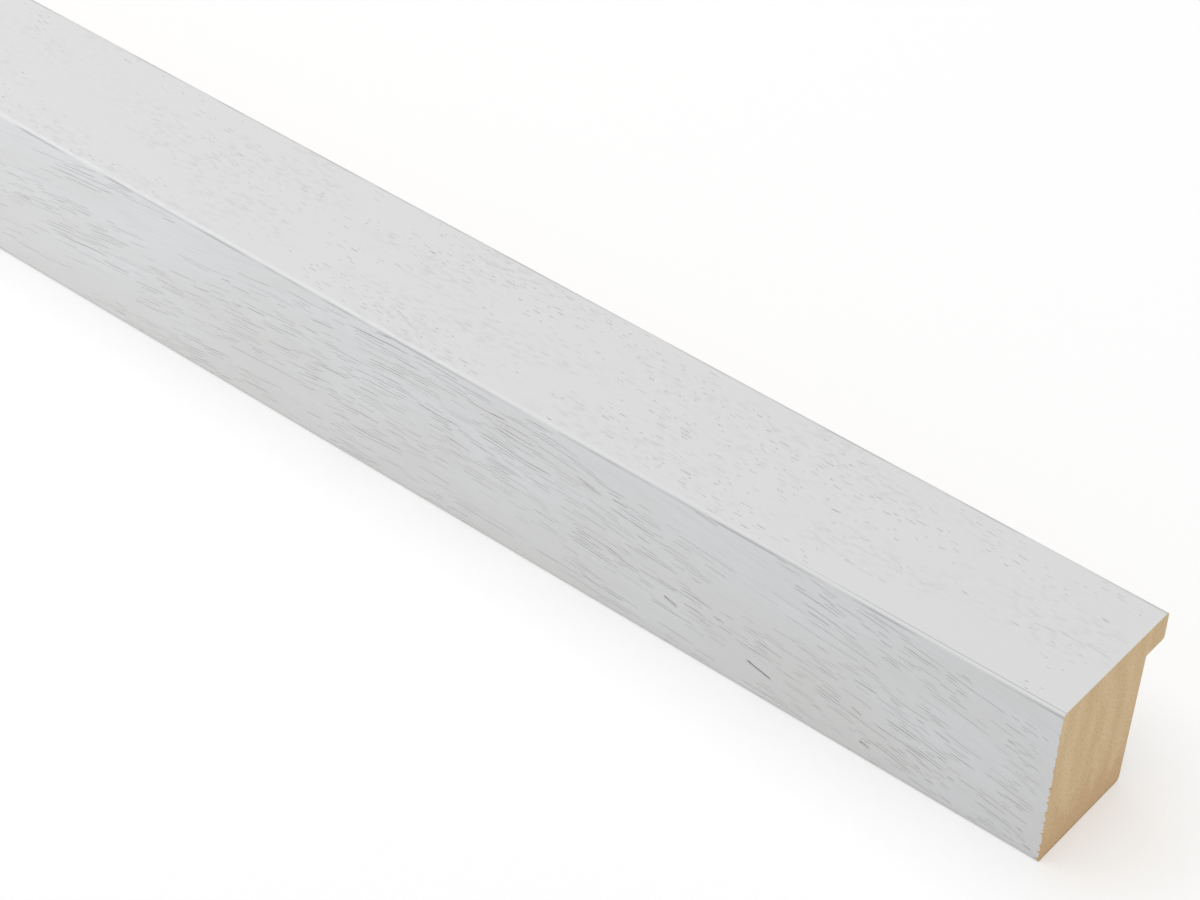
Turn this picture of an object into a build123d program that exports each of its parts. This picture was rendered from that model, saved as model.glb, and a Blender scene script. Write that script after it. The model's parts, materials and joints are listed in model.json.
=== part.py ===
from build123d import *
import os

# A picture frame moulding: one stick of open-pored hardwood, planed to a deep square section.
# Millimetres. X runs along the stick, Y across its face towards the sight edge, Z up from its back.
# The stick lies on its back, face up, with the origin under its middle.

# Driving dimensions
STICK_LENGTH = 1200.0   # one sold length, cut square at both ends
FACE_WIDTH = 30.0       # from the outer side to the sight edge
HEIGHT = 33.0           # from the back to the face
LIP_THICKNESS = 5.8     # the lip that holds the glass in from the front
REBATE_WIDTH = 5.3      # how far the lip reaches over the glass
REBATE_DRAFT = 1.2      # what the rebate gains in width between the lip and the back

# Radii of the edges, which the planer leaves sharp and sanding takes off
OUTER_ARRIS_RADIUS = 0.6    # between the outer side and the face
SIGHT_EDGE_RADIUS = 0.6     # between the face and the lip's edge
LIP_CORNER_RADIUS = 0.6     # between the lip's edge and the rebate seat
REBATE_ROOT_RADIUS = 0.3    # left in the inner corner by the rebate cutter
REBATE_HEEL_RADIUS = 0.9    # between the rebate wall and the back
OUTER_HEEL_RADIUS = 0.3     # between the back and the outer side


def moulding_section():
    """The section across the stick, drawn on the YZ plane, once round from the outer heel."""
    outer_y = -FACE_WIDTH / 2
    sight_y = FACE_WIDTH / 2
    root_y = sight_y - REBATE_WIDTH
    heel_y = root_y - REBATE_DRAFT
    seat_z = HEIGHT - LIP_THICKNESS
    corners = {
        (outer_y, 0): OUTER_HEEL_RADIUS,
        (outer_y, HEIGHT): OUTER_ARRIS_RADIUS,
        (sight_y, HEIGHT): SIGHT_EDGE_RADIUS,
        (sight_y, seat_z): LIP_CORNER_RADIUS,
        (root_y, seat_z): REBATE_ROOT_RADIUS,
        (heel_y, 0): REBATE_HEEL_RADIUS,
    }
    with BuildSketch(Plane.YZ) as section:
        with BuildLine():
            FilletPolyline(*corners.keys(), radius=list(corners.values()), close=True)
        make_face()
    return section.sketch


def moulding_stick():
    """The section run out to both sides of the origin, with square-cut ends."""
    return extrude(moulding_section(), amount=STICK_LENGTH / 2, both=True)


os.makedirs("parts", exist_ok=True)
moulding = moulding_stick()
export_step(moulding, "parts/moulding.step")
print("moulding", moulding.bounding_box().size, "volume", round(moulding.volume))
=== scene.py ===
# %% [markdown]
# # A stick of picture frame moulding
# The real thing is one length of open-pored hardwood, planed to a deep square section with a rebate under its lip.
# It is painted white on the sides that a finished frame shows and left bare on the back, in the rebate and on its
# sawn ends. The lesson models the stick with its pores as real grooves, gives it paint and bare wood, and sets it
# in a plain studio.

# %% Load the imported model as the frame
import bmesh
import bpy
import json
import math
import random
from mathutils import Matrix, Vector, noise
from mathutils.geometry import delaunay_2d_cdt


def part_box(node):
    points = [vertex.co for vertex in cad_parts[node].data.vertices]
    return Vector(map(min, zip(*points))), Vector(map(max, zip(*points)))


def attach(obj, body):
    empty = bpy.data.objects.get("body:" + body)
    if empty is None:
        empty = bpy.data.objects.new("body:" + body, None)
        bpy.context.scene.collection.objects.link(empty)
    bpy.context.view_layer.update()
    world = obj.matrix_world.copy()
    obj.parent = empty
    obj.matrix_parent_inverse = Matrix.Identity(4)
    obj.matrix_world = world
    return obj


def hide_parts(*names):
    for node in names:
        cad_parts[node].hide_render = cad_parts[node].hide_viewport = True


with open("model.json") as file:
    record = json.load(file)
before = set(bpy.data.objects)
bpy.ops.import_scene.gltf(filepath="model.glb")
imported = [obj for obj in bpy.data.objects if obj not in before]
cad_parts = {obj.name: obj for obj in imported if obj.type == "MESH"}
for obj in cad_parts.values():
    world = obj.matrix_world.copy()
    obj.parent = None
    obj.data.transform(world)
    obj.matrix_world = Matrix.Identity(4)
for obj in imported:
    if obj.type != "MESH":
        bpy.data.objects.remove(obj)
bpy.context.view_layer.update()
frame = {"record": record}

# %% [markdown]
# ## Sizes
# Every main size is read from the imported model: its box gives the length, the face and the height, and the faces
# that it offers for mounting give the lip and the rebate. The section is worked out in millimetres, which are
# easier to read for so small a profile, and is turned to metres where a point is placed.

# %% The section's sizes, in millimetres
MM = 0.001
mounts = {mount["name"]: Vector(mount["pos_m"]) / MM for mount in frame["record"]["mounts"]}
low, high = (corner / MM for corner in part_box("moulding"))

FAR_X, NEAR_X = low.x, high.x          # the two sawn ends
LENGTH = NEAR_X - FAR_X
OUTER_Y, SIGHT_Y = low.y, high.y       # the outer side and the lip's edge
BACK_Z, FACE_Z = low.z, high.z         # the back and the painted face
SEAT_Z = mounts["rebate_seat"].z
ROOT_Y = 2 * mounts["rebate_seat"].y - SIGHT_Y
HEEL_Y = 2 * mounts["back_face"].y - OUTER_Y

ARRIS = 0.6          # radius of the three painted edges
ROOT_RADIUS = 0.3    # inner corner of the rebate
HEEL_RADIUS = 0.9    # rebate wall to back
OUTER_HEEL = 0.3     # back to outer side
SLACK = 0.001        # places that differ by less than this count as the same
print("lip", round(FACE_Z - SEAT_Z, 2), "rebate", round(SIGHT_Y - ROOT_Y, 2), "back", round(HEEL_Y - OUTER_Y, 2))

# %% [markdown]
# ## The planed stick
# A moulding comes out of the planer as one section run along a line, so it is modelled that way: a face with six
# corners, each corner rounded by a vertex bevel, and one extrusion. A box with cut-outs would give the same
# outline, but it would leave seams where the cuts end. Cross lines every centimetre keep the long quads from
# getting too thin to shade well.

# %% The section, rounded, extruded and divided
SECTION = [
    ((OUTER_Y, BACK_Z), OUTER_HEEL),
    ((OUTER_Y, FACE_Z), ARRIS),
    ((SIGHT_Y, FACE_Z), ARRIS),
    ((SIGHT_Y, SEAT_Z), ARRIS),
    ((ROOT_Y, SEAT_Z), ROOT_RADIUS),
    ((HEEL_Y, BACK_Z), HEEL_RADIUS),
]
EDGE_SEGMENTS = 5
STATION = 10                           # spacing of the cross lines
PAINT, SAWN, PLANED = range(3)         # the material slots of the stick

stick = bmesh.new()
section_corners = [stick.verts.new((FAR_X * MM, y * MM, z * MM)) for (y, z), _ in SECTION]
stick.faces.new(section_corners)
for corner, (_, radius) in zip(section_corners, SECTION):
    bmesh.ops.bevel(stick, geom=[corner], offset=radius * MM, offset_type="OFFSET", affect="VERTICES",
                    segments=EDGE_SEGMENTS, profile=0.5, material=-1)
run_out = bmesh.ops.extrude_face_region(stick, geom=stick.faces[:], use_keep_orig=True)
run_verts = [item for item in run_out["geom"] if isinstance(item, bmesh.types.BMVert)]
bmesh.ops.translate(stick, verts=run_verts, vec=(LENGTH * MM, 0, 0))
long_edges = [edge for edge in stick.edges if edge.calc_length() > LENGTH * MM / 2]
spans = round(LENGTH / STATION)
bmesh.ops.subdivide_edges(stick, edges=long_edges, cuts=spans - 1)
bmesh.ops.recalc_face_normals(stick, faces=stick.faces)
print("stick", len(stick.faces), "faces, closed:", all(edge.is_manifold for edge in stick.edges))

# %% [markdown]
# Only what a finished frame shows is painted: the outer side, the face and the edge of the lip. The faces of the
# stick are sorted into material slots by their place round the section, which needs no seam between paint and wood,
# and the narrow quads of the rounded edges are shaded smooth.

# %% Paint on the sides that show, bare wood below the lip and on the back
PAINT_REACH = 0.9                      # how much of the bottom edge's rounding is painted
for skin in stick.faces:
    centre = skin.calc_center_median() / MM
    outside = centre.y < OUTER_Y + PAINT_REACH * OUTER_HEEL
    skin.material_index = PAINT if outside or centre.z > SEAT_Z + SLACK else PLANED
    skin.smooth = skin.calc_area() < ARRIS * STATION * MM ** 2
print(sum(skin.material_index == PAINT for skin in stick.faces), "of", len(stick.faces), "faces are painted")

# %% [markdown]
# ## Pores
# Coarse hardwood is full of long vessels. Where the planer cuts along them, they lie open as fine grooves, and thin
# paint sinks into them and leaves a darker line. The outer side is cut nearly along the vessels, so its pores are
# long, in crowded groups, and follow the slow wave of the grain. The face is cut across the rings, so there they
# are short and sparse. A bump texture could fake them, but real grooves are part of the mesh itself. Each pore is a
# narrow rim with a sunken keel.

# %% How the grain runs
GRAIN_SEED = 7
rng = random.Random(GRAIN_SEED)
GRAIN_WAVES = ((0.13, 420), (0.02, 95))     # slope of each wave on the outer side, and its length
WAVE_X = NEAR_X - 10                        # where the grain drops most
FACE_WAVE = 2.0                             # how far the grain strays across the face


def side_rise(u):
    """Height of a vessel on the outer side, along the stick."""
    return -sum(slope * long / math.tau * math.sin(math.tau * (u - WAVE_X) / long) for slope, long in GRAIN_WAVES)


def face_rise(u):
    """The same across the face, where the vessels run nearly straight."""
    return FACE_WAVE * math.sin(math.tau * u / GRAIN_WAVES[0][1])


def patch(u, v, long, across, layer):
    """Smooth noise from -1 to 1, with patches of the given size."""
    return noise.noise(Vector((u / long, v / across, layer)))


print("the grain drops", round(side_rise(NEAR_X - 200) - side_rise(NEAR_X), 1), "mm over the last 200 mm")

# %% [markdown]
# Pores come in bands, as each year's growth is cut at a slant. Noise stretched along the grain gives such bands
# over the whole length. Near the cut end, where this stick is seen best, a few soft places on top of it crowd the
# pores or thin them out where the real stick does.

# %% Where the pores crowd
# Each place: distance from the near end, height, half length, half height and amount.
SIDE_PLACES = ((-98, 26, 13, 2.2, 1.0), (-110, 23.5, 8, 2, 0.6), (-120, 29, 11, 1.5, 0.8), (-88, 12, 15, 3.5, 1.2),
               (-75, 17.5, 9, 3, 0.7), (-70, 8, 6, 4, 0.8), (-46, 14.5, 11, 2.5, 0.8), (-42, 29.5, 6, 2, 0.8),
               (-22, 18, 7, 6, 1.0), (-27, 6, 15, 5, 0.9), (-5.5, 14, 5, 8, 1.0), (-147, 19, 12, 4, 0.9),
               (-65, 28, 20, 4, -0.8), (-58, 20, 8, 4, -0.6), (-36, 20, 6, 3, -0.5), (-12.5, 18, 2.5, 12, -1.0),
               (-205, 27, 22, 5, -0.6), (-5, 6, 6, 4, 0.9))
FACE_PLACES = ((-108, 10, 30, 7, 0.5), (-70, -10.5, 9, 3, 0.6), (-53, 2, 5, 6, 0.4), (-22, 0, 20, 15, -0.25),
               (-115, -9, 16, 4, -0.3))
# Each band of noise: weight, length, width and layer.
SIDE_BANDS = ((1.0, 36, 4.5, 1.5), (0.6, 12, 1.6, 2.5), (0.4, 90, 14, 4.5))
FACE_BANDS = ((1.0, 30, 8, 6.5), (0.7, 8, 3, 7.5))
SIDE_BASE, SIDE_GAIN, FACE_BASE = 0.20, 1.2, 0.15       # the share of pores before and from the bands


def crowding(u, v, places):
    """How much the listed places add to the share of pores."""
    return sum(amount * math.exp(-((u - NEAR_X - x) / long) ** 2 - ((v - height) / across) ** 2)
               for x, height, long, across, amount in places)


def banding(u, v, bands):
    """The listed bands of noise on top of each other."""
    return sum(weight * patch(u, v, long, across, layer) for weight, long, across, layer in bands)


def side_density(u, v):
    """The share of pores kept on the outer side."""
    return SIDE_BASE + SIDE_GAIN * banding(u, v - side_rise(u), SIDE_BANDS) + crowding(u, v, SIDE_PLACES)


def face_density(u, v):
    """The same on the face."""
    return FACE_BASE + banding(u, v, FACE_BANDS) + crowding(u, v, FACE_PLACES)


print(len(SIDE_PLACES), "places on the outer side and", len(FACE_PLACES), "on the face")


# %% [markdown]
# One pore is a thin leaf shape along the grain. Its keel carries a shade at each point, so that a long pore fades
# and darkens along its length, as the paint fills it unevenly.

# %% One pore
PORE_STEP = 2.8         # spacing of the rim points along a long pore
TIP_CLEAR = 0.8         # pores end this far from a sawn end
HALF_WIDTHS = (0.3, 0.5)    # from the keel to the rim, against the pore's width
WOBBLE = 0.5            # how far a pore strays from the grain
WOBBLE_PATCH = (7, 4, 11.5)     # length, width and layer of the noise that it follows
LANE_PLAY = 0.2         # how far a pore may lie off the middle of its lane, in lanes


def one_pore(u, v, rise, length, width):
    """A pore's rim, once round, and the points of its keel."""
    count = 2 + round(length / PORE_STEP)
    inner = [(i + 0.5) / count - 0.5 for i in range(count)]
    half = {t: rng.uniform(*HALF_WIDTHS) * width for t in inner}

    def on_grain(t, aside):
        at = u + t * length
        return at, v + rise(at) - rise(u) + WOBBLE * patch(at, v, *WOBBLE_PATCH) + aside

    rim = [on_grain(-0.5, 0)] + [on_grain(t, half[t]) for t in inner]
    rim += [on_grain(0.5, 0)] + [on_grain(t, -half[t]) for t in reversed(inner)]
    return rim, [on_grain(t, 0) for t in inner]


print("a pore of 10 mm has", 2 + round(10 / PORE_STEP), "points along its keel")

# %% [markdown]
# Pores never cross on the real wood, as each is a vessel of its own. So the surface is divided into narrow lanes
# along the grain, and a pore is laid only where its lane is still free. Where they crowd they are also darker, and
# towards the near end of the outer side they get shorter, because there the grain dives into the wood.

# %% Pores spread over a surface
EDGE_CLEAR = 0.12       # pores keep this far off the rounded edges
TORN_CLEAR, TORN_REACH = 3, 4       # at the torn corner they end this many times as far off, up to this height
CELL_STEPS = 16         # a pore's length in steps, to see which part of its lane it takes
LENGTH_SHAPE = (1.6, 1.8)   # most pores are of a middling length
SHORTEST = 0.5          # how short the dive of the grain makes them
FAINT_BIAS = 1.5        # more of them are faint than dark
TONE_PLAY = (0.5, 1)    # a pore's tone from point to point
FAINT_TIP = 0.6         # a pore's ends against its middle
LONE_TONE, CROWD_TONE, MOST_TONE = 0.5, 0.7, 1.4    # a lone pore's tone, what crowding adds and the limit
COAT_WAVE, COAT_X = 420, NEAR_X - 60        # the coat is thinnest, and its pores darkest, at these stretches
COAT_FILL = 0.15                            # how much it changes


def clear(rim, v_low, v_high):
    """Whether a rim keeps off the outline: off the edges, the sawn ends and the torn corner."""
    off_edges = all(v_low + EDGE_CLEAR < v < v_high - EDGE_CLEAR for _, v in rim)
    off_ends = all(FAR_X + TIP_CLEAR < u < NEAR_X - TIP_CLEAR * (TORN_CLEAR if v < BACK_Z + TORN_REACH else 1)
                   for u, v in rim)
    return off_edges and off_ends


def lane_cells(u, length, lane):
    """The millimetres of a lane that a pore takes, with a little to spare."""
    half = CELL_STEPS // 2 + 1
    return {(round(u + t * length / CELL_STEPS), lane) for t in range(-half, half + 1)}


def scatter_pores(v_low, v_high, marks, per_mm2, density, rise, lengths, widths, spacing, strength, dive):
    """The given marks, then pores over the whole length between two lines, none on top of another."""
    found, taken = [], set()
    for x, v, slope, length, width, tone, bare in marks:
        u = NEAR_X + x
        rim, keel = one_pore(u, v, lambda at: rise(at) + slope * at, length, width)
        lane = round((v - rise(u)) / spacing)
        for beside in (-1, 0, 1):
            taken |= lane_cells(u, length, lane + beside)
        found.append((rim, keel, width, [tone * rng.uniform(*TONE_PLAY) for _ in keel], bare))
    for _ in range(round(LENGTH * (v_high - v_low) * per_mm2)):
        u, v = rng.uniform(FAR_X, NEAR_X), rng.uniform(v_low, v_high)
        length = lengths[0] * (lengths[1] / lengths[0]) ** rng.betavariate(*LENGTH_SHAPE)
        length *= SHORTEST + (1 - SHORTEST) * min(1, (NEAR_X - u) / dive)
        width = rng.uniform(*widths)
        depth_of_tone = strength[0] + (strength[1] - strength[0]) * rng.random() ** FAINT_BIAS
        crowd = density(u, v)
        if rng.random() > crowd:
            continue
        depth_of_tone *= min(MOST_TONE, LONE_TONE + CROWD_TONE * crowd)
        depth_of_tone *= 1 - COAT_FILL + COAT_FILL * math.cos(math.tau * (u - COAT_X) / COAT_WAVE)
        lane = round((v - rise(u)) / spacing)
        v = rise(u) + (lane + rng.uniform(-LANE_PLAY, LANE_PLAY)) * spacing
        rim, keel = one_pore(u, v, rise, length, width)
        cells = lane_cells(u, length, lane)
        if clear(rim, v_low, v_high) and not cells & taken:
            taken |= cells
            tones = [depth_of_tone * rng.uniform(*TONE_PLAY) for _ in keel]
            tones[0], tones[-1] = FAINT_TIP * tones[0], FAINT_TIP * tones[-1]
            found.append((rim, keel, width, tones, 0.0))
    return found


side_low, side_high = BACK_Z + OUTER_HEEL, FACE_Z - ARRIS       # the flat part of the outer side
face_low, face_high = OUTER_Y + ARRIS, SIGHT_Y - ARRIS          # the flat part of the face
print("flat parts", round(side_high - side_low, 1), "and", round(face_high - face_low, 1), "mm wide")


# %% [markdown]
# A few marks stand out on this stick: one short dark split on the outer side, and small spots where the paint was
# rubbed off a pore and the wood shows. They are laid first, like pores, and each is given by its distance from the
# near end, its place across the surface, its slope off the grain, its length, its width, its tone and how much wood
# shows.

# %% The pores of both painted surfaces
SIDE_MARKS = ((-55.6, 6.0, -0.16, 5.6, 0.78, 1.7, 0), (-2.4, 1.6, 0, 1.8, 0.40, 1.0, 0.3),
              (-74.2, 9.9, -0.3, 3.2, 0.90, 0.1, 0.65), (-36.2, 9.4, -0.2, 2.4, 0.45, 0.3, 0.55),
              (-34.0, 3.0, -0.2, 2.4, 0.90, 0.1, 0.65))
FACE_MARKS = ((-93.5, -5.0, 0, 1.8, 0.35, 0.2, 0.5), (-91.7, -10.7, 0, 1.6, 0.35, 0.1, 0.5),
              (-102.0, -13.9, 0, 1.4, 0.40, 0.2, 0.3), (-44.4, -8.9, -0.05, 2.4, 0.28, 0.35, 0),
              (-41.2, -9.3, 0.03, 3.6, 0.20, 0.3, 0), (-38.0, -9.0, -0.04, 2.2, 0.26, 0.35, 0),
              (-12.8, -0.8, 0.10, 4.4, 0.24, 0.35, 0), (-8.4, -0.1, 0.06, 4.4, 0.20, 0.3, 0),
              (-3.8, 0.0, -0.08, 5.0, 0.22, 0.35, 0), (-6.5, 6.7, 0, 1.8, 0.35, 0.6, 0))
side_pores = scatter_pores(side_low, side_high, SIDE_MARKS, per_mm2=0.62, density=side_density, rise=side_rise,
                           lengths=(2.5, 22.0), widths=(0.18, 0.36), spacing=0.65, strength=(0.28, 0.95), dive=70)
face_pores = scatter_pores(face_low, face_high, FACE_MARKS, per_mm2=0.40, density=face_density, rise=face_rise,
                           lengths=(0.6, 3.2), widths=(0.22, 0.50), spacing=0.8, strength=(0.08, 0.47), dive=1)
print(len(side_pores), "pores on the outer side,", len(face_pores), "on the face")

# %% [markdown]
# ## Laying the pores into the surface
# A triangulation that keeps given lines as edges fits every rim and keel into a flat outline in one step, which no
# modelling operator does. The keels are then placed a little under the surface, and each keel carries how dark its
# pore is and whether bare wood shows in it.

# %% Fill a flat outline with triangles around its pores
SIDE_KEEL, FACE_KEEL = 0.6, 0.42       # depth against width; the paint fills the face's short pores further
INSIDE, SAME_POINT = 1, 1e-7    # keep triangles inside the outline; points this close are one
pore_shade = stick.verts.layers.float.new("pore")
pore_bare = stick.verts.layers.float.new("bare")


def lay_surface(outline, pores, keel_depth, place, material, loose=()):
    """Adds the outline, given as (u, v, depth), as triangles. place turns u, v and a depth into a point."""
    points = [Vector((u, v)) for u, v, _ in outline]
    winding = math.copysign(1, sum(a.cross(b) for a, b in zip(points, points[1:] + points[:1])))
    edges = [(i, (i + 1) % len(outline)) for i in range(len(outline))]
    depths = {i: (depth, 0.0, 0.0) for i, (_, _, depth) in enumerate(outline)}
    for u, v, depth in loose:
        depths[len(points)] = (depth, 0.0, 0.0)
        points.append(Vector((u, v)))
    for rim, keel, width, tones, bare in pores:
        first, count = len(points), len(rim)
        points += [Vector(p) for p in rim + keel]
        edges += [(first + i, first + (i + 1) % count) for i in range(count)]
        edges += [(first + i, first + i + 1) for i in range(count, count + len(keel) - 1)]
        depths.update({first + count + i: (width * keel_depth, tone, bare) for i, tone in enumerate(tones)})
    flat, _, triangles, sources, _, _ = delaunay_2d_cdt(points, edges, [], INSIDE, SAME_POINT, True)
    laid = []
    for point, source in zip(flat, sources):
        depth, shade, bare = max((depths.get(i, (0.0, 0.0, 0.0)) for i in source), default=(0.0, 0.0, 0.0))
        vert = stick.verts.new(Vector(place(point.x, point.y, depth)) * MM)
        vert[pore_shade], vert[pore_bare] = shade, bare
        laid.append(vert)
    for triangle in triangles:
        a, b, c = (sources[i][0] if sources[i] else len(outline) for i in triangle)
        if max(a, b, c) < len(outline) and winding * (b - a) * (c - b) * (a - c) > 0:
            continue        # a filled notch of the outline, which lies outside it
        stick.faces.new([laid[i] for i in triangle]).material_index = material


print("pores are laid", SIDE_KEEL, "and", FACE_KEEL, "of their width deep")


# %% [markdown]
# ## Sawn ends
# The saw leaves the paint on the outer side ragged where its teeth came out, because every open pore there lets a
# small splinter go. So the end's outer edge is a row of points set back by small random amounts, shared by the end
# and the side. At the near end the paint is torn off the bottom corner too. The end itself shows the vessels as
# tiny holes, which are laid as very short pores.

# %% The ragged edges
CHIP_STEP = 0.32        # spacing of points along a ragged edge
CHIP_SMALL, CHIP_LARGE = 0.10, 0.80
TORN_DEPTH, TORN_HEIGHT = 1.0, 1.1
HIGH_CHIP = 0.3         # a deep chip at the top against one at the bottom
RIM_WIDTH, RIM_PLAY = 0.30, (0.5, 1.2)      # how far a chip reaches into the end, and how much that varies
DEEP_SHARE, DEEP_SHARE_LOW = 0.12, 0.32     # how often a chip is deep, and how much more often low down


def ragged_edge(near):
    """Heights along the outer side's end with how far each point is set back from the cut."""
    steps = round((side_high - side_low) / CHIP_STEP)
    row = []
    for i in range(steps + 1):
        low_down = 1 - i / steps
        deep = rng.random() < DEEP_SHARE + DEEP_SHARE_LOW * low_down
        largest = CHIP_LARGE * (HIGH_CHIP + (1 - HIGH_CHIP) * low_down)
        chip = rng.uniform(CHIP_SMALL, largest) if deep else rng.uniform(0, CHIP_SMALL)
        z = side_low + (side_high - side_low) * i / steps
        if near and z < BACK_Z + TORN_HEIGHT:
            chip += TORN_DEPTH * (1 - (z - BACK_Z) / TORN_HEIGHT)
        row.append((z, 0.0 if i in (0, steps) else chip))
    return row


near_edge, far_edge = ragged_edge(True), ragged_edge(False)
print("chips up to", [round(max(chip for _, chip in edge), 2) for edge in (near_edge, far_edge)], "mm deep")

# %% The vessels, seen from their ends
VESSEL = 0.22           # a vessel's width
VESSEL_LEAN = 0.6       # the holes lean a little, with the rings
VESSELS = 260           # tries on each end
VESSEL_GAP = 0.6        # between two of them
OFF_RAGGED, OFF_EDGE, OFF_SEAT = 1.2, 0.8, 0.6      # how far they keep off the outline
VESSEL_LENGTHS, VESSEL_WIDTHS = (0.8, 1.6), (0.6, 1)    # of a vessel's width
VESSEL_TONES = (0.2, 1)


def vessel_holes(count):
    """Short pores spread over the end, as the open vessels show there."""
    holes, centres = [], []
    for _ in range(count):
        y = rng.uniform(OUTER_Y + OFF_RAGGED, SIGHT_Y - OFF_EDGE)
        z = rng.uniform(BACK_Z + OFF_EDGE, FACE_Z - OFF_EDGE)
        wall = HEEL_Y + (ROOT_Y - HEEL_Y) * (z - BACK_Z) / (SEAT_Z - BACK_Z)
        too_near = any(math.dist((y, z), other) < VESSEL_GAP for other in centres)
        if too_near or z < SEAT_Z + OFF_SEAT and y > wall - OFF_EDGE:
            continue
        centres.append((y, z))
        length, width = VESSEL * rng.uniform(*VESSEL_LENGTHS), VESSEL * rng.uniform(*VESSEL_WIDTHS)
        rim, keel = one_pore(y, z, lambda u: VESSEL_LEAN * u, length, width)
        holes.append((rim, keel, VESSEL, [rng.uniform(*VESSEL_TONES)] * len(keel), 0.0))
    return holes


print("up to", VESSELS, "vessels on each end, each about", VESSEL, "mm wide")

# %% [markdown]
# The plain skins of the outer side, the face and the two ends now make way for skins with pores. The rounded edges
# and the bare sides stay, and the new skins meet them at the same points, so merging those points closes the stick
# again.

# %% The flat skins go
loops, flats = {}, []
for skin in stick.faces:
    centre = skin.calc_center_median() / MM
    if len(skin.verts) > 4:
        loops[centre.x > 0] = [vert.co / MM for vert in skin.verts]
    if len(skin.verts) > 4 or abs(centre.y - OUTER_Y) < SLACK or abs(centre.z - FACE_Z) < SLACK:
        flats.append(skin)
bmesh.ops.delete(stick, geom=flats, context="FACES")
print(len(flats), "flat faces removed,", len(stick.faces), "left")

# %% The outer side, the face and the two ends
stations = [FAR_X + LENGTH * i / spans for i in range(1, spans)]
side_outline = [(x, side_low, 0.0) for x in stations] + [(NEAR_X - chip, z, 0.0) for z, chip in near_edge]
side_outline += [(x, side_high, 0.0) for x in reversed(stations)]
side_outline += [(FAR_X + chip, z, 0.0) for z, chip in reversed(far_edge)]
lay_surface(side_outline, side_pores, SIDE_KEEL, lambda u, v, depth: (u, OUTER_Y + depth, v), PAINT)

whole = [FAR_X] + stations + [NEAR_X]
face_outline = [(x, face_low, 0.0) for x in whole] + [(x, face_high, 0.0) for x in reversed(whole)]
lay_surface(face_outline, face_pores, FACE_KEEL, lambda u, v, depth: (u, v, FACE_Z - depth), PAINT)

for near, edge in ((True, near_edge), (False, far_edge)):
    cut_x, inward = (NEAR_X, -1) if near else (FAR_X, 1)
    outline = []
    for point, following in zip(loops[near], loops[near][1:] + loops[near][:1]):
        outline.append((point.y, point.z, 0.0))
        if abs(point.y - OUTER_Y) + abs(following.y - OUTER_Y) < SLACK:
            ragged = [(OUTER_Y, z, chip) for z, chip in edge[1:-1]]
            outline += ragged if following.z > point.z else ragged[::-1]
    loose = [(OUTER_Y + RIM_WIDTH * rng.uniform(*RIM_PLAY) / (1 + chip), z, 0.0) for z, chip in edge[1:-1]]
    lay_surface(outline, vessel_holes(VESSELS), SIDE_KEEL,
                lambda u, v, depth: (cut_x + inward * depth, u, v), SAWN, loose)
print("laid", len(stick.faces), "faces")

# %% Close the seams
SEAM, SLIVER = 0.002, 0.01      # points this close are merged; thinner slivers between pores go
bmesh.ops.remove_doubles(stick, verts=stick.verts, dist=SEAM * MM)
bmesh.ops.dissolve_degenerate(stick, edges=stick.edges, dist=SLIVER * MM)
bmesh.ops.recalc_face_normals(stick, faces=stick.faces)
for edge in stick.edges:
    edge.smooth = len({f.material_index == SAWN for f in edge.link_faces}) == 1      # a sawn edge is sharp
print(len(stick.faces), "faces, open edges:", sum(not edge.is_manifold for edge in stick.edges))

# %% [markdown]
# ## A flat map of the stick
# The map is for baking the stick's looks into one square picture. The stick is forty times as long as it is wide,
# so an automatic map would waste most of the square. Here the stick is cut, in the map alone, into three lengths,
# and each is unrolled round the section: one strip for the painted sides and a thinner one for the bare sides,
# which nobody looks at closely. The two ends lie below the strips. A cut across the mesh gives the strips straight
# ends.

# %% Cross cuts, and the way round the section
MAP_LENGTHS = 3
MAP_SIZE, MAP_GAP = 1024, 6                       # in pixels
PAINT_SCALE, BARE_SCALE, END_SCALE = 2.8, 1.4, 4.4    # pixels per millimetre
map_run = LENGTH / MAP_LENGTHS
for cut in range(1, MAP_LENGTHS):
    bmesh.ops.bisect_plane(stick, geom=stick.verts[:] + stick.edges[:] + stick.faces[:], dist=SLACK * MM,
                           plane_co=((FAR_X + cut * map_run) * MM, 0, 0), plane_no=(1, 0, 0))

ring = [Vector((point.y, point.z)) for point in loops[True]]
first = min(range(len(ring)), key=lambda i: (ring[i] - Vector((OUTER_Y + OUTER_HEEL, BACK_Z))).length)
ring = ring[first:] + ring[:first]
if ring[1].x > ring[0].x:
    ring = ring[:1] + ring[:0:-1]                 # up the outer side first
sides = [(a, (b - a).normalized(), (b - a).length) for a, b in zip(ring, ring[1:] + ring[:1])]
ring_length = sum(length for _, _, length in sides)


def way_round(y, z):
    """Distance round the section, up the outer side first, to the outline's point nearest to y, z."""
    point, passed, found = Vector((y, z)), 0.0, []
    for corner, along, length in sides:
        reach = min(max((point - corner).dot(along), 0.0), length)
        found.append(((point - corner - along * reach).length, passed + reach))
        passed += length
    return min(found)[1]


paint_length = way_round(SIGHT_Y - ARRIS, SEAT_Z)
print("painted", round(paint_length, 1), "mm of", round(ring_length, 1), "mm round the section")

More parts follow.
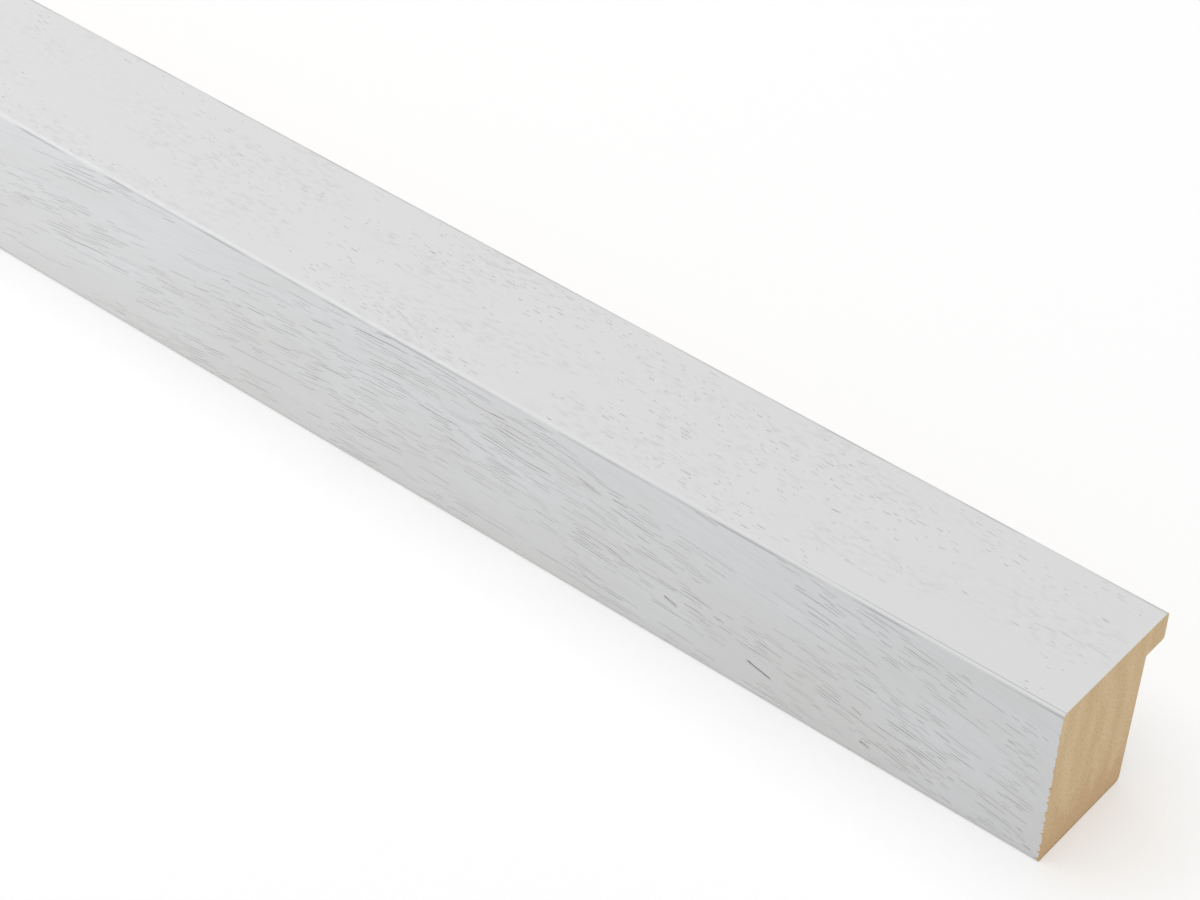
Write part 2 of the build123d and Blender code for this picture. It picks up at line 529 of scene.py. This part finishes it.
# %% Lay the strips and the ends out
bake_map = stick.loops.layers.uv.new("OFBake")
rounds = {vert: way_round(vert.co.y / MM, vert.co.z / MM) for vert in stick.verts}
LAP = 0.1               # how near its start a trip round the section counts as a whole one, of its length
strip_height = {PAINT: paint_length * PAINT_SCALE, PLANED: (ring_length - paint_length) * BARE_SCALE}
pair_height = sum(strip_height.values()) + 2 * MAP_GAP
for skin in stick.faces:
    centre = skin.calc_center_median() / MM
    cut = int((centre.x - FAR_X) / map_run)
    for corner in skin.loops:
        x, y, z = corner.vert.co / MM
        if skin.material_index == SAWN:
            across = (y - OUTER_Y if centre.x > 0 else SIGHT_Y - y + SIGHT_Y - OUTER_Y + MAP_GAP) * END_SCALE
            up = MAP_LENGTHS * pair_height + (z - BACK_Z) * END_SCALE
        else:
            across = (x - FAR_X - cut * map_run) * (MAP_SIZE - 2 * MAP_GAP) / map_run
            trip = rounds[corner.vert]
            if skin.material_index == PAINT:
                trip = trip if trip < (1 - LAP) * ring_length else trip - ring_length
                up = cut * pair_height + trip * PAINT_SCALE
            else:
                trip = trip if trip > LAP * ring_length else trip + ring_length
                up = cut * pair_height + strip_height[PAINT] + MAP_GAP + (trip - paint_length) * BARE_SCALE
        corner[bake_map].uv = ((across + MAP_GAP) / MAP_SIZE, (up + MAP_GAP) / MAP_SIZE)
print("map filled up to", round(max(loop[bake_map].uv.y for skin in stick.faces for loop in skin.loops), 3))

# %% [markdown]
# Every vertex also carries its place in the grain: its position in millimetres with the wave of the vessels taken
# out. A pattern that reads this place runs along the vessels by itself.

# %% The grain's own coordinates, and the finished mesh in the CAD stick's place
grain_place = stick.verts.layers.float_vector.new("grain")
for vert in stick.verts:
    x, y, z = vert.co / MM
    vert[grain_place] = (x, y - face_rise(x), z - side_rise(x))

mesh = bpy.data.meshes.new("moulding_stick")
stick.to_mesh(mesh)
stick.free()
moulding = bpy.data.objects.new("moulding_stick", mesh)
bpy.context.collection.objects.link(moulding)
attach(moulding, "root")
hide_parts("moulding")
print(moulding.name, "has", len(mesh.vertices), "vertices")

# %% [markdown]
# ## Colours and nodes
# Colours are written as they look on a screen, in sRGB hex, and one function turns them into the linear values that
# a shader needs. One more function adds a node with its settings and its links, and the others keep short what
# every material does.

# %% The helpers
COLOUR = {"data_type": "RGBA"}      # makes a Mix node mix colours
A, B, MIXED = 6, 7, 2               # its colour sockets, in and out


def linear(hex_colour):
    """An sRGB hex colour as linear RGBA."""
    channels = [int(hex_colour[i:i + 2], 16) / 255 for i in (1, 3, 5)]
    return [c / 12.92 if c <= 0.04045 else ((c + 0.055) / 1.055) ** 2.4 for c in channels] + [1.0]


def add(tree, kind, settings=None, inputs=None):
    """Adds a node: settings are its properties, and inputs are values or the outputs that feed them."""
    node = tree.nodes.new("ShaderNode" + kind)
    for name, value in (settings or {}).items():
        setattr(node, name, value)
    for name, value in (inputs or {}).items():
        if isinstance(value, bpy.types.NodeSocket):
            tree.links.new(value, node.inputs[name])
        else:
            node.inputs[name].default_value = value
    return node


def new_material(name):
    """A material with its tree and its Principled shader."""
    material = bpy.data.materials.new(name)
    material.use_nodes = True
    tree = material.node_tree
    return material, tree, tree.nodes["Principled BSDF"]


def stretched(sizes):
    """The scale of a pattern whose features have these sizes."""
    return [1 / size for size in sizes]


def dress(tree, shader, colour, rough, relief, ior):
    """Links a finished colour, roughness and relief to the shader and sets its IOR."""
    for socket, output in (("Base Color", colour), ("Roughness", rough), ("Normal", relief)):
        tree.links.new(output, shader.inputs[socket])
    shader.inputs["IOR"].default_value = ior


print("middle grey is", round(linear("#808080")[0], 3), "in linear light")

# %% [markdown]
# ## White paint on open grain
# The paint is white acrylic, sprayed thin on planed wood and sanded. To the eye it is near white with a dull satin
# sheen, and the grain shows through: pores as darker lines, faint streaks along the vessels, short flecks on the
# face, and patches on the outer side where the coat is thicker and a little bluer. The outer side also gets painted
# shade, a slightly darker white than the face, and painted light, as its thick patches gather higher up. A picture
# of painted wood would be quicker, but it would fit one length only. Noise that reads the grain's own coordinates
# runs along the vessels of a stick of any length.

# %% The paint's grain
STREAK_SIZE = (9, 0.45, 0.45)       # along the grain and across it, in millimetres
COAT_SIZE = (30, 8, 8)
FLECK_SIZE = (2.4, 0.8, 0.8)
PAINTED_LIGHT_RISE = 0.012                   # painted light: the thick patches, and so the side's white, gain this much on each millimetre of height

paint, tree, shader = new_material("white_acrylic_on_open_grain")
grain = add(tree, "Attribute", {"attribute_name": "grain"}).outputs["Vector"]
place = add(tree, "SeparateXYZ", {}, {0: add(tree, "TexCoord").outputs["Object"]}).outputs
upward = add(tree, "SeparateXYZ", {}, {0: add(tree, "NewGeometry").outputs["Normal"]}).outputs["Z"]
sideways = add(tree, "Math", {"operation": "SUBTRACT", "use_clamp": True}, {0: 1.0, 1: upward}).outputs[0]
flat_on = add(tree, "Math", {"operation": "GREATER_THAN"}, {0: upward, 1: 0.5}).outputs[0]

# fine streaks, on the outer side only
fine_place = add(tree, "Mapping", {}, {"Vector": grain, "Scale": stretched(STREAK_SIZE)}).outputs[0]
fine = add(tree, "TexNoise", {},
           {"Vector": fine_place, "Scale": 1.0, "Detail": 3.0, "Roughness": 0.6}).outputs["Fac"]
streak = add(tree, "MapRange", {},
             {"Value": fine, "From Min": 0.48, "From Max": 0.80, "To Max": sideways}).outputs[0]

# thick patches on that side too, plus painted light: they gather high up, so the side is lighter higher up
broad_place = add(tree, "Mapping", {}, {"Vector": grain, "Scale": stretched(COAT_SIZE)}).outputs[0]
broad = add(tree, "TexNoise", {}, {"Vector": broad_place, "Scale": 1.0, "Detail": 2.0}).outputs["Fac"]
higher = add(tree, "Math", {"operation": "MULTIPLY_ADD"}, {0: place["Z"], 1: PAINTED_LIGHT_RISE / MM, 2: broad}).outputs[0]
thick_coat_and_upper_light = add(tree, "MapRange", {},
           {"Value": higher, "From Min": 0.50, "From Max": 0.90, "To Max": sideways}).outputs[0]

# short soft flecks, in patches and on the face only
fleck_place = add(tree, "Mapping", {}, {"Vector": grain, "Scale": stretched(FLECK_SIZE)}).outputs[0]
flecks = add(tree, "TexNoise", {}, {"Vector": fleck_place, "Scale": 1.0, "Detail": 2.0}).outputs["Fac"]
fleck_patch = add(tree, "MapRange", {}, {"Value": broad, "From Min": 0.42, "From Max": 0.60,
                                         "To Max": flat_on}).outputs[0]
fleck = add(tree, "MapRange", {}, {"Value": flecks, "From Min": 0.48, "From Max": 0.78,
                                   "To Max": fleck_patch}).outputs[0]
print("the paint's grain takes", len(tree.nodes), "nodes")

# %% The paint's colours, from the coat down into the pores
# Painted shade and light on the outer side: its white is a little darker than the face's, and the thick white,
# partly painted light, gathers higher up.
FACE_WHITE, SHADED_SIDE_WHITE = linear("#E0E0E0"), linear("#DDDDDC")
FLECK_GREY, THICK_AND_LIT_WHITE, STREAK_GREY = linear("#D3D3D3"), linear("#E3E4E6"), linear("#DADBDC")
PORE_GREY = linear("#696763")

pore = add(tree, "Attribute", {"attribute_name": "pore"}).outputs["Fac"]
white_with_shaded_side = add(tree, "Mix", COLOUR, {"Factor": sideways, A: FACE_WHITE, B: SHADED_SIDE_WHITE}).outputs[MIXED]
flecked = add(tree, "Mix", COLOUR, {"Factor": fleck, A: white_with_shaded_side, B: FLECK_GREY}).outputs[MIXED]
coated_and_lit = add(tree, "Mix", COLOUR, {"Factor": thick_coat_and_upper_light, A: flecked, B: THICK_AND_LIT_WHITE}).outputs[MIXED]
streaked = add(tree, "Mix", COLOUR, {"Factor": streak, A: coated_and_lit, B: STREAK_GREY}).outputs[MIXED]
sunk = add(tree, "Mix", COLOUR, {"Factor": pore, A: streaked, B: PORE_GREY}).outputs[MIXED]
print("colours from face to pore", [round(c[0], 2) for c in (FACE_WHITE, SHADED_SIDE_WHITE, STREAK_GREY, PORE_GREY)])

# %% [markdown]
# Along the rounded edges the paint is greyed in long stretches: painted shade, which tones down the light these
# edges catch. A thin grey line lies along the borders of the face's two rounded edges. Each line is a narrow band
# of one coordinate, which stays sharp at any size, and its strength changes along the stick.

# %% The paint's edges: stretches of painted shade, and lines
STRIP_WAVE_LENGTH, STRIP_WAVE_X = 380, NEAR_X - 15        # stretches of painted shade on the rounded strips, and of the face's line, one of them at the near end
PATCHY_LENGTH = 22                          # the lines come and go in patches of this length

shade_and_line_angle = add(tree, "Math", {"operation": "MULTIPLY_ADD"},
                {0: place["X"], 1: math.tau / (STRIP_WAVE_LENGTH * MM), 2: -math.tau * STRIP_WAVE_X / STRIP_WAVE_LENGTH}).outputs[0]
shade_and_line_wave = add(tree, "Math", {"operation": "COSINE"}, {0: shade_and_line_angle}).outputs[0]
strip_shade = add(tree, "MapRange", {}, {"Value": shade_and_line_wave, "From Min": -0.7, "From Max": 0.8}).outputs[0]
line_peak = add(tree, "MapRange", {}, {"Value": shade_and_line_wave, "From Min": 0.75, "From Max": 0.98}).outputs[0]
lengthwise = add(tree, "TexNoise", {"noise_dimensions": "1D"},
                 {"W": place["X"], "Scale": 1 / (PATCHY_LENGTH * MM), "Detail": 3.0}).outputs["Fac"]
patchy = add(tree, "MapRange", {}, {"Value": lengthwise, "From Min": 0.38, "From Max": 0.6}).outputs[0]
print("rubbed stretches every", STRIP_WAVE_LENGTH, "mm")

# %% The rounded strips, greyed as painted shade, and the thin lines beside them
SHADED_STRIP_WHITE, LINE_GREY = linear("#DCDCDC"), linear("#C2C4C5")
SIDE_LINE, FACE_LINE, SIGHT_LINE = 0.24, 0.13, 0.14         # half the width of each line

off_middle = add(tree, "Math", {"operation": "ABSOLUTE"}, {0: place["Y"]}).outputs[0]
on_top = add(tree, "Math", {"operation": "GREATER_THAN"}, {0: place["Z"], 1: side_high * MM}).outputs[0]
on_rim = add(tree, "Math", {"operation": "GREATER_THAN"}, {0: off_middle, 1: face_high * MM}).outputs[0]
on_strip = add(tree, "Math", {"operation": "MULTIPLY"}, {0: on_top, 1: on_rim}).outputs[0]
# painted shade: the rounded strips are greyed in stretches along the stick
painted_strip_shade = add(tree, "Math", {"operation": "MULTIPLY"}, {0: on_strip, 1: strip_shade}).outputs[0]
strip_shaded = add(tree, "Mix", COLOUR, {"Factor": painted_strip_shade, A: sunk, B: SHADED_STRIP_WHITE}).outputs[MIXED]

line = 0.0
for across, where, half, strength in ((place["Z"], side_high, SIDE_LINE, patchy),
                                      (place["Y"], face_low, FACE_LINE, line_peak),
                                      (place["Y"], face_high, SIGHT_LINE, patchy)):
    band = add(tree, "Math", {"operation": "COMPARE"}, {0: across, 1: where * MM, 2: half * MM}).outputs[0]
    faded = add(tree, "Math", {"operation": "MULTIPLY"}, {0: band, 1: strength}).outputs[0]
    line = add(tree, "Math", {"operation": "MAXIMUM"}, {0: line, 1: faded}).outputs[0]
lined = add(tree, "Mix", COLOUR, {"Factor": line, A: strip_shaded, B: LINE_GREY}).outputs[MIXED]
print("lines", [round(2 * half, 2) for half in (SIDE_LINE, FACE_LINE, SIGHT_LINE)], "mm wide")

# %% [markdown]
# The bottom edge is greyer in a thin band, and it has been stood on and pushed about, in places down to the wood.
# The same wood colour shows at the few pores whose paint was rubbed off. In the pores and streaks the paint lies
# thin and a little rougher, and the streaks are very slightly sunk.

# %% The bottom edge, the wood that shows and the paint's sheen
FOOT_GREY, RUBBED_WOOD = linear("#D0D0CF"), linear("#B5A27A")
FOOT_LOW, FOOT_HIGH = 0.2, 0.9      # the grey band fades between these heights
SCUFF_SIZE = 2.5
ACRYLIC_IOR = 1.49
SATIN, STREAK_DULL, PORE_DULL = 0.43, 0.53, 0.25    # roughness of the coat, of a streak, and what a pore adds

bare = add(tree, "Attribute", {"attribute_name": "bare"}).outputs["Fac"]
foot = add(tree, "MapRange", {}, {"Value": place["Z"], "From Min": FOOT_LOW * MM, "From Max": FOOT_HIGH * MM,
                                  "To Min": 1.0, "To Max": 0.0}).outputs[0]
# greyer towards the bottom edge, in a thin band
darker_foot = add(tree, "Mix", COLOUR, {"Factor": foot, A: lined, B: FOOT_GREY}).outputs[MIXED]
patches = add(tree, "TexNoise", {}, {"Vector": grain, "Scale": 1 / SCUFF_SIZE, "Detail": 3.0}).outputs["Fac"]
scuff = add(tree, "MapRange", {}, {"Value": patches, "From Min": 0.60, "From Max": 0.72, "To Max": 0.7}).outputs[0]
scuffed = add(tree, "Math", {"operation": "MULTIPLY"}, {0: foot, 1: scuff}).outputs[0]
wood = add(tree, "Math", {"operation": "MAXIMUM"}, {0: scuffed, 1: bare}).outputs[0]
worn = add(tree, "Mix", COLOUR, {"Factor": wood, A: darker_foot, B: RUBBED_WOOD}).outputs[MIXED]
sheen = add(tree, "MapRange", {}, {"Value": streak, "To Min": SATIN, "To Max": STREAK_DULL}).outputs[0]
rough = add(tree, "Math", {"operation": "MULTIPLY_ADD"}, {0: pore, 1: PORE_DULL, 2: sheen}).outputs[0]
thin_coat = add(tree, "Math", {"operation": "MAXIMUM"}, {0: streak, 1: fleck}).outputs[0]
relief = add(tree, "Bump", {"invert": True},
             {"Height": thin_coat, "Strength": 0.12, "Distance": 0.05 * MM}).outputs[0]
dress(tree, shader, worn, rough, relief, ACRYLIC_IOR)
print("the whole paint takes", len(tree.nodes), "nodes")

# %% [markdown]
# ## Bare wood
# Where nothing hides it, the wood is a pale straw-brown hardwood without any finish, so it looks matt. A fine saw
# cut across the grain: the end shows the vessels as dark specks, soft upright bands of growth and faint saw
# strokes, and is browner towards the back. The real rings are finer than the render can show, so only their broad
# bands are drawn.

# %% The sawn end's bands and patches
BAND_SIZE = (1, 3.2, 14)            # bands of growth, nearly upright on the end
HEART_SIZE = (1, 2.6, 8)            # browner patches, low on the end
HEART_PULL = 22                     # how far a patch may reach up
STRAW, STRAW_DARK, HEART_BROWN = linear("#DFC49B"), linear("#D6B98E"), linear("#D2B086")

sawn, tree, shader = new_material("sawn_end_grain")
grain = add(tree, "Attribute", {"attribute_name": "grain"}).outputs["Vector"]
height = add(tree, "SeparateXYZ", {}, {0: add(tree, "TexCoord").outputs["Object"]}).outputs["Z"]
band_place = add(tree, "Mapping", {}, {"Vector": grain, "Scale": stretched(BAND_SIZE)}).outputs[0]
bands = add(tree, "TexNoise", {}, {"Vector": band_place, "Scale": 1.0, "Detail": 4.0}).outputs["Fac"]
band_tone = add(tree, "MapRange", {}, {"Value": bands, "From Min": 0.35, "From Max": 0.65}).outputs[0]
straw = add(tree, "Mix", COLOUR, {"Factor": band_tone, A: STRAW, B: STRAW_DARK}).outputs[MIXED]

cloud_place = add(tree, "Mapping", {}, {"Vector": grain, "Scale": stretched(HEART_SIZE)}).outputs[0]
cloud = add(tree, "TexNoise", {}, {"Vector": cloud_place, "Scale": 1.0, "Detail": 3.0}).outputs["Fac"]
drift = add(tree, "Math", {"operation": "MULTIPLY_ADD"}, {0: cloud, 1: -HEART_PULL * MM, 2: height}).outputs[0]
heart = add(tree, "MapRange", {},
            {"Value": drift, "From Min": -2 * MM, "From Max": -6 * MM, "To Max": 0.8}).outputs[0]
brown = add(tree, "Mix", COLOUR, {"Factor": heart, A: straw, B: HEART_BROWN}).outputs[MIXED]
print("the end's bands take", len(tree.nodes), "nodes")

# %% The sawn end's vessels, burr and saw strokes
SPECK_SIZE = 0.5
BURR_HEIGHT = 0.6                   # crushed fibres along the bottom edge
STROKE_SIZE = (1, 0.4, 7)           # saw strokes
SPECK_BROWN, BURR_BROWN = linear("#B08E5E"), linear("#A9895A")
WOOD_IOR = 1.53
SAWN_FINE, SAWN_COARSE = 0.74, 0.88     # roughness between and in the specks

pore = add(tree, "Attribute", {"attribute_name": "pore"}).outputs["Fac"]
mottle = add(tree, "TexNoise", {}, {"Vector": grain, "Scale": 1 / SPECK_SIZE, "Detail": 2.0}).outputs["Fac"]
mottled = add(tree, "MapRange", {}, {"Value": mottle, "From Min": 0.5, "From Max": 0.75, "To Max": 0.5}).outputs[0]
speck = add(tree, "Math", {"operation": "MAXIMUM"}, {0: pore, 1: mottled}).outputs[0]
specked = add(tree, "Mix", COLOUR, {"Factor": speck, A: brown, B: SPECK_BROWN}).outputs[MIXED]
burr = add(tree, "MapRange", {}, {"Value": height, "From Min": BURR_HEIGHT * MM, "From Max": 0.2 * MM,
                                  "To Max": 0.7}).outputs[0]
burred = add(tree, "Mix", COLOUR, {"Factor": burr, A: specked, B: BURR_BROWN}).outputs[MIXED]
stroke_place = add(tree, "Mapping", {}, {"Vector": grain, "Scale": stretched(STROKE_SIZE)}).outputs[0]
strokes = add(tree, "TexNoise", {}, {"Vector": stroke_place, "Scale": 1.0, "Detail": 2.0}).outputs["Fac"]
relief = add(tree, "Bump", {}, {"Height": strokes, "Strength": 0.3, "Distance": 0.1 * MM}).outputs[0]
rough = add(tree, "MapRange", {}, {"Value": speck, "To Min": SAWN_FINE, "To Max": SAWN_COARSE}).outputs[0]
dress(tree, shader, burred, rough, relief, WOOD_IOR)
print("the whole sawn end takes", len(tree.nodes), "nodes")

# %% [markdown]
# The back and the rebate came off the planer and were never touched again. Planed wood is smoother than sawn wood:
# it shows long pale and darker grain and, as nothing fills them, thin dark pores along it. No one looks at these
# sides closely, so here the pores are only colour and bump.

# %% The planed back and rebate
PLANED_SIZE = (40, 0.7, 0.7)        # long grain
OPEN_SIZE = (7, 0.28, 0.28)         # open pores
PLANED_PALE, PLANED_DARK, OPEN_BROWN = linear("#DEC59E"), linear("#CBAE82"), linear("#A5875B")
PLANED_SMOOTH, PLANED_ROUGH = 0.62, 0.78

planed, tree, shader = new_material("planed_bare_hardwood")
grain = add(tree, "Attribute", {"attribute_name": "grain"}).outputs["Vector"]
long_place = add(tree, "Mapping", {}, {"Vector": grain, "Scale": stretched(PLANED_SIZE)}).outputs[0]
long_grain = add(tree, "TexNoise", {}, {"Vector": long_place, "Scale": 1.0, "Detail": 5.0}).outputs["Fac"]
long_tone = add(tree, "MapRange", {}, {"Value": long_grain, "From Min": 0.35, "From Max": 0.65}).outputs[0]
long_straw = add(tree, "Mix", COLOUR, {"Factor": long_tone, A: PLANED_PALE, B: PLANED_DARK}).outputs[MIXED]
open_place = add(tree, "Mapping", {}, {"Vector": grain, "Scale": stretched(OPEN_SIZE)}).outputs[0]
open_noise = add(tree, "TexNoise", {}, {"Vector": open_place, "Scale": 1.0, "Detail": 1.0}).outputs["Fac"]
open_pore = add(tree, "MapRange", {}, {"Value": open_noise, "From Min": 0.62, "From Max": 0.74}).outputs[0]
pored = add(tree, "Mix", COLOUR, {"Factor": open_pore, A: long_straw, B: OPEN_BROWN}).outputs[MIXED]
rough = add(tree, "MapRange", {}, {"Value": long_tone, "To Min": PLANED_SMOOTH, "To Max": PLANED_ROUGH}).outputs[0]
relief = add(tree, "Bump", {"invert": True},
             {"Height": open_pore, "Strength": 0.3, "Distance": 0.1 * MM}).outputs[0]
dress(tree, shader, pored, rough, relief, WOOD_IOR)

for material in (paint, sawn, planed):
    mesh.materials.append(material)
print("materials", [material.name for material in mesh.materials])

# %% [markdown]
# ## Studio
# A pale matt floor, an even white surround and three soft boxes light the stick at a plain level. The floor keeps
# the soft shadow, and only what the camera sees of it is lifted to white: a Light Path node tells those rays from
# the ones that carry light to the stick, so the background adds no light.

# %% The floor
FLOOR_HALF = 20.0


def seen(tree):
    """1 for the rays that show the backdrop, straight or in gloss and glass, and 0 for light on its way."""
    paths = add(tree, "LightPath").outputs
    shown = paths["Is Camera Ray"]
    for ray in ("Is Glossy Ray", "Is Transmission Ray"):
        shown = add(tree, "Math", {"operation": "MAXIMUM"}, {0: shown, 1: paths[ray]}).outputs[0]
    return shown


floor_mesh = bpy.data.meshes.new("studio_floor")
plate = bmesh.new()
bmesh.ops.create_grid(plate, x_segments=1, y_segments=1, size=FLOOR_HALF)
plate.to_mesh(floor_mesh)
plate.free()
floor = bpy.data.objects.new("studio_floor", floor_mesh)
bpy.context.collection.objects.link(floor)

# matt white paint, which shows no reflection at all
FLOOR_LIFT = 0.38
floor_paint, tree, shader = new_material("matt_white_floor_paint")
shader.inputs["Base Color"].default_value = linear("#E4E4E4")
shader.inputs["Roughness"].default_value = 1.0
shader.inputs["Specular IOR Level"].default_value = 0.0
white = add(tree, "Emission", {}, {"Strength": FLOOR_LIFT}).outputs[0]
lift = add(tree, "MixShader", {}, {0: seen(tree), 2: white})
lifted = add(tree, "AddShader", {}, {0: shader.outputs[0], 1: lift.outputs[0]})
tree.links.new(lifted.outputs[0], tree.nodes["Material Output"].inputs["Surface"])
floor_mesh.materials.append(floor_paint)
print("floor", 2 * FLOOR_HALF, "m wide")

# %% The surround
SURROUND = 0.47         # for the light that reaches the stick; the camera sees 1, which is white
world = bpy.data.worlds.new("studio_surround")
bpy.context.scene.world = world
world.use_nodes = True
tree = world.node_tree
level = add(tree, "MapRange", {}, {"Value": seen(tree), "To Min": SURROUND, "To Max": 1.0}).outputs[0]
tree.links.new(level, tree.nodes["Background"].inputs["Strength"])
tree.nodes["Background"].inputs["Color"].default_value = (1, 1, 1, 1)
print("surround", SURROUND)

# %% [markdown]
# The large box hangs overhead. A long strip stands beside the outer side and ends short of the near end, so the
# side gets darker towards that end, and a small box lights the sawn end. The strip and the small box are linked to
# the stick alone, so that they leave no pools of light on the floor, and they are kept out of its reflections.

# %% The lamps
stick_only = bpy.data.collections.new("stick_only")
stick_only.objects.link(moulding)


def soft_box(name, place, target, size, energy):
    """A lamp with a flat rectangular front that looks at a point."""
    data = bpy.data.lights.new(name, "AREA")
    data.shape, data.energy = "RECTANGLE", energy
    data.size, data.size_y = size
    lamp = bpy.data.objects.new(name, data)
    bpy.context.collection.objects.link(lamp)
    lamp.location = place
    lamp.rotation_euler = (Vector(target) - Vector(place)).to_track_quat("-Z", "Y").to_euler()
    return lamp


soft_box("overhead_box", place=(0.05, 0.0, 1.6), target=(0.45, 0.0, 0.015), size=(1.6, 1.6), energy=11.9)
strip_box = soft_box("side_strip", place=(-0.125, -0.55, 0.25), target=(-0.125, 0.0, 0.015), size=(0.9, 0.35),
                     energy=2.8)
end_box = soft_box("end_box", place=(1.4, 0.0, 0.22), target=(0.6, 0.0, 0.015), size=(0.4, 0.4), energy=1.65)
for lamp in (strip_box, end_box):
    lamp.light_linking.receiver_collection = stick_only
    lamp.visible_glossy = False             # and they leave no shine on the paint
print("lamps", [(lamp.name, round(lamp.energy, 2)) for lamp in bpy.data.lights])

# %% [markdown]
# ## Camera
# The camera stands in front of the near end, a good way above it, and looks along the stick, which runs out of the
# left of the frame. Its place is given from the near end, with a small roll, as the picture was turned a little.

# %% The camera
CAMERA_AZIMUTH, CAMERA_ELEVATION, CAMERA_ROLL = (math.radians(a) for a in (37.28, 41.37, 2.74))
CAMERA_LENS = 101.71
CAMERA_FROM_NEAR_END = Vector((160.61, -344.71, 398.65))

camera_data = bpy.data.cameras.new("camera")
camera_data.lens = CAMERA_LENS
camera = bpy.data.objects.new("camera", camera_data)
bpy.context.collection.objects.link(camera)
back = Vector((math.sin(CAMERA_AZIMUTH) * math.cos(CAMERA_ELEVATION),
               -math.cos(CAMERA_AZIMUTH) * math.cos(CAMERA_ELEVATION), math.sin(CAMERA_ELEVATION)))
right = Vector((math.cos(CAMERA_AZIMUTH), math.sin(CAMERA_AZIMUTH), 0))
facing = Matrix((right, back.cross(right), back)).transposed() @ Matrix.Rotation(CAMERA_ROLL, 3, "Z")
camera.matrix_world = Matrix.Translation((Vector((NEAR_X, 0, 0)) + CAMERA_FROM_NEAR_END) * MM) @ facing.to_4x4()
bpy.context.scene.camera = camera
bpy.context.scene.view_settings.view_transform = "Standard"
print("camera", round(CAMERA_FROM_NEAR_END.length), "mm from the near end")
